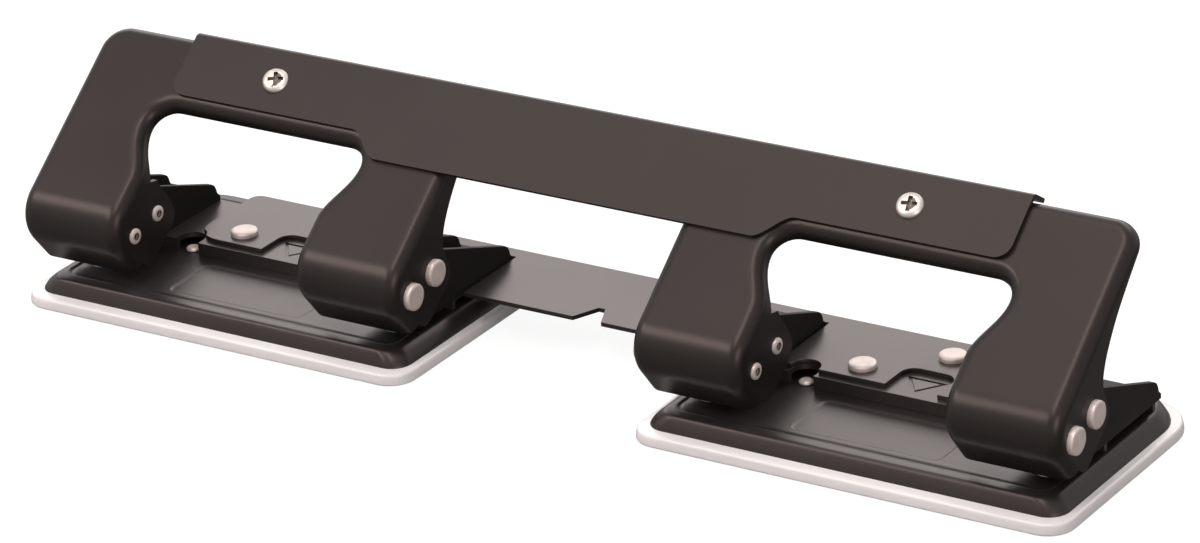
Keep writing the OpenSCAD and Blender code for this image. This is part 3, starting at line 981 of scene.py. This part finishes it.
@dataclass
class HandleCover:
    """The folded sheet over both levers."""

    end: float = 105.5
    sheet: float = 1.0
    low: float = 26.4
    high: float = 32.4
    middle: float = 47.4
    step: float = 8.6
    corner: float = 3.5
    bend_s: float = 47.0
    bend_r: float = 1.6
    bend_turn: float = 72.0
    lip: float = 4.0

    def side_path(self) -> list[Flat]:
        """Outer side path (s, off) of the bend and the lip.

        Returns:
            The points of the path, from the flat sheet outwards.
        """
        r, turns = self.bend_r, [math.radians(self.bend_turn * k / 8) for k in range(9)]
        path = [(self.bend_s + r * math.sin(t), self.sheet - r * (1 - math.cos(t))) for t in turns]
        s, off = path[-1]
        return [*path, (s + self.lip * math.cos(turns[-1]), off - self.lip * math.sin(turns[-1]))]

    def outline(self) -> list[Flat]:
        """Lower outline (x, s) from the right end to the left end.

        Returns:
            The points of the outline.
        """
        r = self.corner
        right = [(self.end, self.high + r)]
        right += arc(self.end - r, self.high + r, r, r, 0, -90, 8)[1:]
        shares = [k / 12 for k in range(12, -1, -1)]
        right += [(self.middle + self.step * k, s_step(self.low, self.high, k)) for k in shares]
        return right + [(-x, s) for x, s in reversed(right)]

    def build(self, name: str) -> Object:
        """Makes the cover's outer skin, in strips from the lower edge to the lip.

        Args:
            name: The piece's name.

        Returns:
            The skin, without its thickness.
        """
        draft = Draft()
        lower = self.outline()
        rows = [draft.row(SPACE.at(x, s, self.sheet) for x, s in lower)]
        rows += [draft.row(SPACE.at(x, s, off) for x, _ in lower) for s, off in self.side_path()]
        draft.loft(rows)
        return draft.mesh(name)


# Base
@dataclass
class BasePan:
    """The pressed pan under each unit."""

    half_x: float = 49.3
    half_y: float = 28.55
    mid_y: float = 0.85
    low_z: float = 2.6
    punch_x: float = 40.0
    die: float = 6.1
    mark_back: float = 1.4
    # half sizes, radius and depth of each ring of the pressed rectangle
    mark: tuple[tuple[float, float, float, float], ...] = (
        (18.0, 7.85, 2.0, 0.0), (17.8, 7.65, 1.9, 0.07), (17.45, 7.3, 1.7, 0.24), (17.2, 7.05, 1.5, 0.27),
    )

    def rings(self) -> list[tuple[float, float, float, float, float, float]]:
        """Half sizes, middle, front and rear radius and height of each ring, outside in.

        Returns:
            Six sizes for each ring.
        """
        # insets at the ends, the front and the rear; front and rear radius; height
        profile = [
            (0.0, 0.0, 0.0, 4.6, 12.0, 0.0), (0.06, 0.05, 0.03, 4.55, 11.95, 0.3),
            (0.45, 0.28, 0.14, 4.5, 11.8, 0.9), (1.0, 0.6, 0.32, 4.4, 11.6, 1.65),
            (1.75, 0.95, 0.52, 4.3, 11.3, 2.35), (2.5, 1.25, 0.74, 4.2, 11.0, 2.95),
            (3.0, 1.5, 0.95, 4.1, 10.8, 3.24), (3.55, 1.85, 1.3, 4.0, 10.5, 3.38),
            (4.1, 2.35, 1.8, 3.8, 10.1, 3.42), (4.5, 3.9, 3.3, 3.2, 9.0, 3.42),
            (4.85, 4.3, 3.7, 3.0, 8.8, 3.36), (5.15, 4.65, 4.05, 2.9, 8.6, 3.16),
            (5.45, 5.0, 4.4, 2.8, 8.4, 3.14), (5.75, 5.4, 4.8, 2.7, 8.1, 3.26),
            (6.05, 5.8, 5.2, 2.6, 7.9, 3.34),
        ]
        return [
            (self.half_x - a, self.half_y - (b + c) / 2, self.mid_y + (b - c) / 2, r, back, self.low_z + h)
            for a, b, c, r, back, h in profile
        ]

    def build(self, name: str, middle: float) -> Object:
        """Makes the pan's outer skin with its pressed rectangle and dies.

        Args:
            name: The piece's name.
            middle: The X of the unit's middle, in millimetres.

        Returns:
            The skin, without its thickness.
        """
        draft = Draft()
        rows = [
            draft.row((x, y + shift, z) for x, y in round_rect(hx, hy, r, 9, back))
            for hx, hy, shift, r, back, z in self.rings()
        ]
        draft.loft(rows, closed=True)
        floor = self.rings()[-1][-1]
        mark_y = PUNCH_Y + self.mark_back
        marks = [
            draft.row((x, y + mark_y, floor - depth) for x, y in round_rect(hx, hy, r, 5))
            for hx, hy, r, depth in self.mark
        ]
        draft.loft(marks, closed=True)
        draft.fill(marks[-1])
        holes = [marks[0]]
        for side in (-1, 1):
            circle = arc(side * self.punch_x, PUNCH_Y, self.die / 2, self.die / 2, 0, 360, 32)[:-1]
            holes.append(draft.row((x, y, floor) for x, y in circle))
        draft.fill_pierced([rows[-1], *holes])
        return draft.mesh(name, middle)


@dataclass
class ChipTray:
    """The milky tray under each base pan."""

    half_x: float = 51.5
    half_y: float = 31.0
    height: float = 2.6
    wall: float = 1.2
    front_r: float = 6.0
    rear_r: float = 12.0
    lip_x: float = 46.2
    lip_y: float = 26.35
    lip_mid: float = 0.85

    def build(self, name: str, middle: float) -> Object:
        """Makes the closed tray, with its rounded edge and inner lip.

        Args:
            name: The piece's name.
            middle: The X of the unit's middle, in millimetres.

        Returns:
            The tray.
        """
        hx, hy, h, w = self.half_x, self.half_y, self.height, self.wall
        rings = [
            (hx - inset, hy - inset, 0.0, self.front_r - inset, self.rear_r - inset, z)
            for inset, z in (
                (1.4, 0.0), (0.45, 0.02), (0.16, 0.12), (0.03, 0.3), (0.0, 0.5), (0.06, 1.2), (0.16, 1.9),
                (0.3, h - 0.28), (0.5, h - 0.08), (0.8, h),
            )
        ]
        rings += [
            (self.lip_x - inset, self.lip_y - inset, self.lip_mid, 3.0 - inset, 9.0 - inset, z)
            for inset, z in (
                (-0.1, h), (0.0, h + 0.1), (0.0, h + 1.7), (0.15, h + 1.8), (w, h + 1.8), (w, w + 0.3),
                (w + 0.5, w),
            )
        ]
        draft = Draft()
        rows = [
            draft.row((x, y + mid, z) for x, y in round_rect(a, b, r, 9, back))
            for a, b, mid, r, back, z in rings
        ]
        draft.loft(rows, closed=True)
        draft.fill(rows[0])
        draft.fill(rows[-1])
        return draft.mesh(name, middle)


@dataclass
class MiddleMark:
    """The raised inside of the triangle that marks the sheet's middle."""

    stop_y: float = -2.32
    deck_z: float = 8.95
    line: float = 0.62
    near: float = 2.2
    far: float = 8.8
    half: float = 4.8

    def build(self, middle: float) -> Object:
        """Makes the low pad that leaves a groove all round in the pressed triangle.

        Args:
            middle: The X of the unit's middle, in millimetres.

        Returns:
            The pad.
        """
        front, rear, half = self.stop_y + self.near, self.stop_y + self.far, self.half
        low = front + self.line * math.hypot(half, rear - front) / half
        high = rear - self.line
        tall = high - low
        wide = half * tall / (rear - front)
        corners = [(0.0, low), (wide, high), (-wide, high)]
        draft = Draft()
        rows = [
            draft.row((x * k, low + (y - low) * k + (1 - k) * tall * 0.6, z) for x, y in corners)
            for k, z in ((1.0, self.deck_z - 0.4), (1.0, self.deck_z - 0.1), (0.93, self.deck_z - 0.015))
        ]
        draft.loft(rows, closed=True)
        draft.fill(rows[0])
        draft.fill(rows[-1])
        return draft.mesh("mark", middle)


# Geometry Nodes
class Recipe(NodeBook):
    """A Geometry Nodes tree with named size inputs."""

    def __init__(self, name: str, sizes: dict[str, float]) -> None:
        """Starts the tree.

        Args:
            name: The tree's name.
            sizes: Its size inputs by name, in millimetres.
        """
        super().__init__(bpy.data.node_groups.new(name, "GeometryNodeTree"))
        face = self.tree.interface
        for way in ("INPUT", "OUTPUT"):
            face.new_socket("Geometry", in_out=way, socket_type="NodeSocketGeometry")
        self.sizes: dict[str, float] = {}
        for size, value in sizes.items():
            socket = face.new_socket(size, in_out="INPUT", socket_type="NodeSocketFloat")
            socket.default_value = self.sizes[socket.identifier] = value * MM
        self.source = self.add("NodeGroupInput")

    def size(self, name: str) -> Wire:
        """One of the size inputs."""
        return self.wire(self.source, name)

    def vector(self, x: Any = 0.0, y: Any = 0.0, z: Any = 0.0) -> Wire:
        """A vector of three values."""
        return self.wire(self.add("ShaderNodeCombineXYZ", X=x, Y=y, Z=z))

    def join(self, *parts: Any) -> Wire:
        """All parts as one mesh.

        Args:
            *parts: Wires or outputs that carry meshes.

        Returns:
            The joined mesh.
        """
        both = self.add("GeometryNodeJoinGeometry")
        for part in parts:
            self.feed(both.inputs[0], part)
        return self.wire(both)

    def raised(self, mesh: Any, height: Wire, turn: float = 0.0) -> Wire:
        """The mesh raised by a height and turned about Z by an angle in radians."""
        way, spin = self.vector(z=height), (0.0, 0.0, turn)
        return self.wire(self.add("GeometryNodeTransform", Geometry=mesh, Translation=way, Rotation=spin))

    def stack(self, radius: Wire, height: Wire, steps: Sequence[Flat], count: int = 40) -> Wire:
        """A turned solid: a disc raised step by step, each top scaled.

        Args:
            radius: The radius of the first disc.
            height: What the steps are shares of.
            steps: Share of the height and scale of each step.
            count: Corners round the disc.

        Returns:
            The closed solid.
        """
        disc = self.add("GeometryNodeMeshCircle", {"fill_type": "NGON"}, Vertices=count, Radius=radius)
        mesh, chosen = disc.outputs[0], True
        base = self.add("GeometryNodeFlipFaces", Mesh=mesh)
        for share, scale in steps:
            up = self.add(
                "GeometryNodeExtrudeMesh", Mesh=mesh, Selection=chosen, Offset=self.vector(z=height * share),
                Individual=False)
            chosen = up.outputs["Top"]
            top = self.add(
                "GeometryNodeScaleElements", Geometry=up.outputs["Mesh"], Selection=chosen, Scale=scale)
            mesh = top.outputs[0]
        both = self.join(base.outputs[0], mesh)
        return self.wire(self.add("GeometryNodeMergeByDistance", Geometry=both, Distance=0.001 * MM))

    def on_points(self, mesh: Wire) -> Wire:
        """A copy of the mesh on every point, turned as the point says.

        Args:
            mesh: The mesh.

        Returns:
            The copies.
        """
        turn = self.add("GeometryNodeInputNamedAttribute", {"data_type": "FLOAT_VECTOR"}, Name="turn")
        euler = self.add("FunctionNodeEulerToRotation", Euler=turn.outputs[0])
        return self.wire(self.add(
            "GeometryNodeInstanceOnPoints", Points=self.source.outputs[0], Instance=mesh,
            Rotation=euler.outputs[0]))

    def grow(
        self, name: str, mesh: Wire, finish: Finish, places: Sequence[Point] = ((0, 0, 0),),
        turns: Sequence[Point] = ((0, 0, 0),),
    ) -> Object:
        """Closes the tree with real geometry and makes the object that wears it.

        Args:
            name: The object's name.
            mesh: The mesh that the tree ends in.
            finish: The finish of that mesh.
            places: The object's points, in millimetres.
            turns: Euler angles at each point, in degrees.

        Returns:
            The object, with the tree and its sizes in a modifier.
        """
        real = self.add("GeometryNodeRealizeInstances", Geometry=mesh)
        dress = self.add("GeometryNodeSetMaterial", Geometry=real.outputs[0], Material=finish.material)
        self.feed(self.add("NodeGroupOutput").inputs[0], dress.outputs[0])
        data = bpy.data.meshes.new(name)
        data.from_pydata([tuple(v * MM for v in p) for p in places], [], [])
        turn = data.attributes.new("turn", "FLOAT_VECTOR", "POINT")
        for index, angles in enumerate(turns):
            turn.data[index].vector = tuple(math.radians(a) for a in angles)
        item = placed(name, data)
        modifier = item.modifiers.new("recipe", "NODES")
        modifier.node_group = self.tree
        for identifier, value in self.sizes.items():
            modifier[identifier] = value
        return item


@dataclass
class PlateRivets:
    """Flat rivets that hold the joining plate on the decks."""

    places: tuple[Flat, ...] = ((-14.6, 4.58), (0.4, 16.38))
    radius: float = 3.1
    height: float = 1.2
    base_z: float = 9.95

    def build(self, name: str) -> Object:
        """Grows the four heads on the plate.

        Args:
            name: The piece's name.

        Returns:
            The rivets.
        """
        recipe = Recipe("flat_rivet", {"Radius": self.radius, "Height": self.height})
        mesh = recipe.stack(recipe.size("Radius"), recipe.size("Height"), [
            (0.12, 1.0), (0.45, 1.0), (0.18, 0.975), (0.14, 0.93), (0.08, 0.88), (0.03, 0.80),
        ])
        spots = [(u + x, y, self.base_z) for u in UNITS.values() for x, y in self.places]
        return recipe.grow(name, recipe.on_points(mesh), Finish.RIVET, spots, [(0, 0, 0)] * len(spots))


@dataclass
class LegRivets:
    """Rivets through the legs: a flat head outside, a peened tube inside."""

    y: float
    z: float
    head_x: float = 50.4
    tail_x: float = 23.7
    head_r: float = 3.0
    head_h: float = 1.4
    shank_r: float = 1.5
    tail_r: float = 1.8
    tail_h: float = 0.6
    hollow: float = 0.55

    def gets_hollow_shade(self, spot: Vector) -> bool:
        """Whether a face's middle, in metres, lies in a peened hollow.

        Args:
            spot: The middle of the face.

        Returns:
            True in a hollow, whose faces take the painted shade.
        """
        x, y, z = (v / MM for v in spot)
        inside = min(abs(x - u) for u in UNITS.values()) < self.tail_x - 0.02
        return inside and math.hypot(y - self.y, z - self.z) < self.hollow * self.tail_r

    def build(self, name: str) -> Object:
        """Grows four rivets, each turned to its leg.

        Args:
            name: The piece's name.

        Returns:
            The rivets.
        """
        recipe = Recipe(name + "_recipe", {
            "Head radius": self.head_r, "Head height": self.head_h, "Shank radius": self.shank_r,
            "Tail radius": self.tail_r, "Tail height": self.tail_h, "Length": self.head_x - self.tail_x,
        })
        length, half = recipe.size("Length"), (0.5, 1.0)
        head = recipe.stack(recipe.size("Head radius"), recipe.size("Head height"), [
            (0.2, 1.0), (0.5, 1.0), (0.16, 0.97), (0.10, 0.92), (0.04, 0.84),
        ])
        shank = recipe.stack(recipe.size("Shank radius"), length, [half, half], 28)
        tail = recipe.stack(recipe.size("Tail radius"), recipe.size("Tail height") * -1.0, [
            (0.35, 1.0), (0.4, 0.96), (0.25, 0.86), (0.04, 0.58), (-0.7, 0.9), (-1.4, 0.85),
        ], 32)
        mesh = recipe.join(head, recipe.raised(shank, length * -1.0), recipe.raised(tail, length * -1.0))
        legs = [(u, side) for u in UNITS.values() for side in (-1, 1)]
        spots = [(u + side * self.head_x, self.y, self.z) for u, side in legs]
        turns = [(0, 90 * side, 0) for _, side in legs]
        return recipe.grow(name, recipe.on_points(mesh), Finish.RIVET, spots, turns)


@dataclass
class CoverScrews:
    """Two cross-recess screws with low domed heads."""

    s: float = 40.0
    off: float = 1.0
    radius: float = 3.0
    height: float = 1.3
    cross: float = 0.61
    sunk: float = 0.93

    def gets_recess_shade(self, spot: Vector) -> bool:
        """Whether a face's middle, in metres, lies in a cross recess.

        Args:
            spot: The middle of the face.

        Returns:
            True in a recess, whose faces take the painted shade.
        """
        wide, high = self.cross * self.radius * MM, self.sunk * self.height * MM
        near = [SPACE.matrix(u, self.s, self.off).inverted() @ spot for u in UNITS.values()]
        return any(math.hypot(at.x, at.y) < wide and at.z < high for at in near)

    def build(self, name: str) -> Object:
        """Grows both screws on the cover.

        Args:
            name: The piece's name.

        Returns:
            The screws.
        """
        recipe = Recipe("cross_screw", {"Radius": self.radius, "Height": self.height})
        wide, high = recipe.size("Radius"), recipe.size("Height")
        solid = recipe.stack(wide, high, [
            (0.22, 1.0), (0.26, 0.965), (0.22, 0.90), (0.16, 0.82), (0.10, 0.70), (0.04, 0.5),
        ], 48)
        for turn in (0.0, math.pi / 2):
            bar = recipe.add("GeometryNodeMeshCube", Size=recipe.vector(wide * 1.16, wide * 0.3, high * 1.5))
            arm = recipe.raised(bar.outputs[0], high * 1.1, turn)
            cut = recipe.add("GeometryNodeMeshBoolean", {"operation": "DIFFERENCE", "solver": "EXACT"})
            recipe.feed(cut.inputs["Mesh 1"], solid)
            recipe.feed(cut.inputs["Mesh 2"], arm)
            solid = recipe.wire(cut)
        spots = [SPACE.at(u, self.s, self.off) for u in UNITS.values()]
        turns = [(SPACE.angle, 0, spin) for spin in (28, 12)]
        return recipe.grow(name, recipe.on_points(solid), Finish.SCREW, spots, turns)


@dataclass
class ReturnSpring:
    """One coil spring round a punch, a swept helix."""

    x: float
    low: float = 10.47
    high: float = 18.3
    wire: float = 0.6
    radius: float = 3.95
    curls: float = 3.0

    def build(self, name: str) -> Object:
        """Grows the helix and sweeps the wire along it.

        Args:
            name: The piece's name.

        Returns:
            The spring.
        """
        rise = self.high - self.low - self.wire
        recipe = Recipe(name + "_recipe", {"Radius": self.radius, "Wire": self.wire, "Rise": rise})
        radius = recipe.size("Radius")
        helix = recipe.add(
            "GeometryNodeCurveSpiral", Resolution=36, Rotations=self.curls, Start_Radius=radius,
            End_Radius=radius, Height=recipe.size("Rise"))
        ring = recipe.add("GeometryNodeCurvePrimitiveCircle", Resolution=12, Radius=recipe.size("Wire") * 0.5)
        tube = recipe.add(
            "GeometryNodeCurveToMesh", Curve=helix.outputs[0], Profile_Curve=ring.outputs[0], Fill_Caps=True)
        foot = (self.x * MM, PUNCH_Y * MM, (self.low + self.wire / 2) * MM)
        coil = recipe.add("GeometryNodeTransform", Geometry=tube.outputs[0], Translation=foot)
        return recipe.grow(name, recipe.wire(coil), Finish.SPRING)


# Studio

# Name, place, height aimed at, size and power of each lamp, in metres and watts
LAMPS = (
    ("back_softbox", (-0.85, 1.25, 0.68), 0.02, (1.4, 0.5), 6.6),
    ("back_high", (0.05, 1.25, 1.05), 0.02, (0.8, 0.4), 5.0),
    ("top_softbox", (-0.15, -0.2, 1.3), 0.02, (1.4, 0.9), 9.3),
    ("edge_strip", (0.16, -0.4, 1.2), 0.03, (0.22, 0.9), 5.0),
    ("nose_strip", (-0.75, -0.84, 0.93), 0.03, (1.0, 0.4), 12.0),
    ("front_fill", (1.2, -0.75, 0.5), 0.03, (0.6, 0.6), 7.0),
)


@dataclass
class Studio:
    """Camera, soft lights, pale floor and white surroundings."""

    eye: Point = (0.623894, -0.907841, 0.510995)
    azimuth: float = 34.2783
    elevation: float = 23.9320
    roll: float = -3.6238
    lens: float = 169.598
    shift: Flat = (-0.00399, -0.00549)
    soft: float = 0.55
    glow: float = 0.91
    paper: Point = (0.14, 0.138, 0.136)
    warm: Point = (1.0, 0.93, 0.90)

    def camera(self) -> None:
        """Sets the camera as the photograph was taken."""
        data = bpy.data.cameras.new("view")
        data.lens, data.sensor_width, data.sensor_fit = self.lens, 36.0, "HORIZONTAL"
        data.shift_x, data.shift_y = self.shift
        data.clip_start, data.clip_end = 0.05, 20.0
        item = placed("view", data)
        a, e, r = (math.radians(v) for v in (self.azimuth, self.elevation, self.roll))
        back = Vector((math.sin(a) * math.cos(e), -math.cos(a) * math.cos(e), math.sin(e)))
        level = Vector((math.cos(a), math.sin(a), 0.0))
        rise = back.cross(level)
        right = math.cos(r) * level + math.sin(r) * rise
        up = math.cos(r) * rise - math.sin(r) * level
        turn = Matrix((right, up, back)).transposed().to_4x4()
        item.matrix_world = Matrix.Translation(Vector(self.eye)) @ turn
        bpy.context.scene.camera = item

    def world(self) -> None:
        """Soft light all round that the camera, gloss and clear plastic see as white."""
        world = bpy.data.worlds.new("studio")
        bpy.context.scene.world = world
        book = ShaderBook(world)
        soft = book.add("ShaderNodeBackground", Color=(1.0, 0.96, 0.94), Strength=self.soft)
        white = book.add("ShaderNodeBackground", Color=(1.0, 1.0, 1.0), Strength=1.0)
        book.choose("ShaderNodeOutputWorld", book.seen(1.0), soft, white)

    def lamp(self, name: str, spot: Point, aim: float, size: Flat, power: float) -> None:
        """Adds a soft rectangular lamp that looks at the part.

        Args:
            name: The lamp's name.
            spot: Its place, in metres.
            aim: Height of the point over the origin that it looks at.
            size: Its width and height, in metres.
            power: Its power, in watts.
        """
        data = bpy.data.lights.new(name, "AREA")
        data.shape, data.energy, data.color = "RECTANGLE", power, self.warm
        data.size, data.size_y = size
        way = Vector((0.0, 0.0, aim)) - Vector(spot)
        turn = way.to_track_quat("-Z", "Y").to_matrix().to_4x4()
        placed(name, data).matrix_world = Matrix.Translation(Vector(spot)) @ turn

    def floor(self) -> None:
        """A pale floor that runs out to white where the camera looks."""
        data = bpy.data.meshes.new("floor")
        data.from_pydata([(-4, -4, 0), (4, -4, 0), (4, 4, 0), (-4, 4, 0)], [], [(0, 1, 2, 3)])
        item = placed("floor", data)
        item.location.z = -0.2 * MM
        material = bpy.data.materials.new("pale_floor")
        book = ShaderBook(material)
        paper = book.add("ShaderNodeBsdfDiffuse", Color=self.paper)
        glow = book.add("ShaderNodeEmission", Color=(1.0, 1.0, 1.0), Strength=self.glow)
        both = book.add("ShaderNodeAddShader")
        book.feed(both.inputs[0], paper.outputs[0])
        book.feed(both.inputs[1], glow.outputs[0])
        # the levers' noses mirror the floor just in front of the part, their flanks the rest
        ahead = book.wire(book.add("ShaderNodeSeparateXYZ", Vector=book.place()), "Y")
        gloss = (ahead * -30.0 - 1.1).clamped() * 0.4 + 0.04
        book.choose("ShaderNodeOutputMaterial", book.seen(gloss), paper, both)
        data.materials.append(material)

    def build(self) -> None:
        """Sets up the whole studio."""
        bpy.context.scene.view_settings.view_transform = "Standard"
        self.camera()
        self.world()
        self.floor()
        for row in LAMPS:
            self.lamp(*row)


# The part
@dataclass
class FourHolePunch:
    """Builds every piece of the part in its workshop."""

    shop: Workshop

    def soft_copy(
        self, node: str, name: str, width_mm: float, finish: Finish, slot: str, body: str = "base",
    ) -> None:
        """Dresses a node whose shape only needs softer edges."""
        self.shop.finish(self.shop.softened_copy(node, name, width_mm), finish, body, slot, node)

    def base(self) -> None:
        """Trays, pans, decks, plate and their rivets."""
        for side, middle in UNITS.items():
            tray = ChipTray().build(f"tray_{side}", middle)
            self.shop.finish(tray, Finish.TRAY, "base", "tray_plastic", f"chip_tray_{side}", 40)
            pan = BasePan().build(f"pan_{side}", middle)
            self.shop.thicken(pan, 1.0, 0.0)
            self.shop.finish(pan, Finish.BASE, "base", "base_coat", f"base_pan_{side}", 40)
            deck = self.shop.softened_copy(f"body_plate_{side}", f"deck_{side}", 0.3)
            self.shop.absorb(deck, MiddleMark().build(middle))
            self.shop.finish(deck, Finish.DECK_LIT, "base", "base_coat", f"body_plate_{side}")
        self.soft_copy("connecting_plate", "joining_plate", 0.18, Finish.DECK_LIT, "plate_coat")
        rivets = PlateRivets().build("flat_rivets")
        self.shop.finish(rivets, Finish.RIVET, "base", "rivet_steel", "plate_rivets")
        self.soft_copy("locating_rivets", "stake_rivets", 0.2, Finish.RIVET, "rivet_steel")

    def brackets(self) -> None:
        """The four U brackets."""
        for n in range(1, 5):
            self.soft_copy(f"bracket_{n}", f"u_bracket_{n}", 0.28, Finish.BRACKET_SHADED, "bracket_coat")

    def lever(self) -> None:
        """Levers, cover, screws and leg rivets."""
        for side, middle in UNITS.items():
            item = Lever().build(f"arch_{side}", middle)
            self.shop.thicken(item, 1.2, 0.1)
            self.shop.finish(item, Finish.LEVER, "lever", "lever_coat", f"lever_{side}", 28)
        cover = HandleCover().build("grip_cover")
        self.shop.thicken(cover, 1.0, 0.22)
        self.shop.finish(cover, Finish.COVER, "lever", "lever_coat", "handle_cover")
        screws = CoverScrews()
        item = screws.build("grip_screws")
        # the faces in the cross recesses take a painted shade
        recess = (Finish.RECESS_SHADE, screws.gets_recess_shade)
        self.shop.finish(item, Finish.SCREW, "lever", "screw_steel", "cover_screws", other=recess)
        for rivets, name, node in (
            (LegRivets(*HINGE), "pivot_pins", "pivot_rivets"),
            (LegRivets(*DRIVER), "driver_pins", "driver_rivets"),
        ):
            item = rivets.build(name)
            # the faces in the peened hollows take a painted shade
            hollow = (Finish.RECESS_SHADE, rivets.gets_hollow_shade)
            self.shop.finish(item, Finish.RIVET, "lever", "rivet_steel", node, other=hollow)

    def punches(self) -> None:
        """Punches and the springs round them."""
        for n in range(1, 5):
            self.soft_copy(f"punch_{n}", f"cutter_{n}", 0.25, Finish.PUNCH, "punch_steel", f"punch_{n}")
            x = (n - 2.5) * 80.0
            spring = ReturnSpring(x).build(f"coil_{n}")
            self.shop.finish(spring, Finish.SPRING, "base", "spring_steel", f"spring_{n}", 60)
            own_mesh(spring)

    def build(self) -> None:
        """Builds all sub-assemblies in order."""
        for step in (self.base, self.brackets, self.lever, self.punches):
            step()


def main() -> None:
    """Loads the frame, sets the studio and builds the part."""
    logging.basicConfig(level=logging.INFO, format="%(name)s: %(message)s")
    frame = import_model()
    Studio().build()
    FourHolePunch(Workshop(frame)).build()


if __name__ == "__main__":
    main()
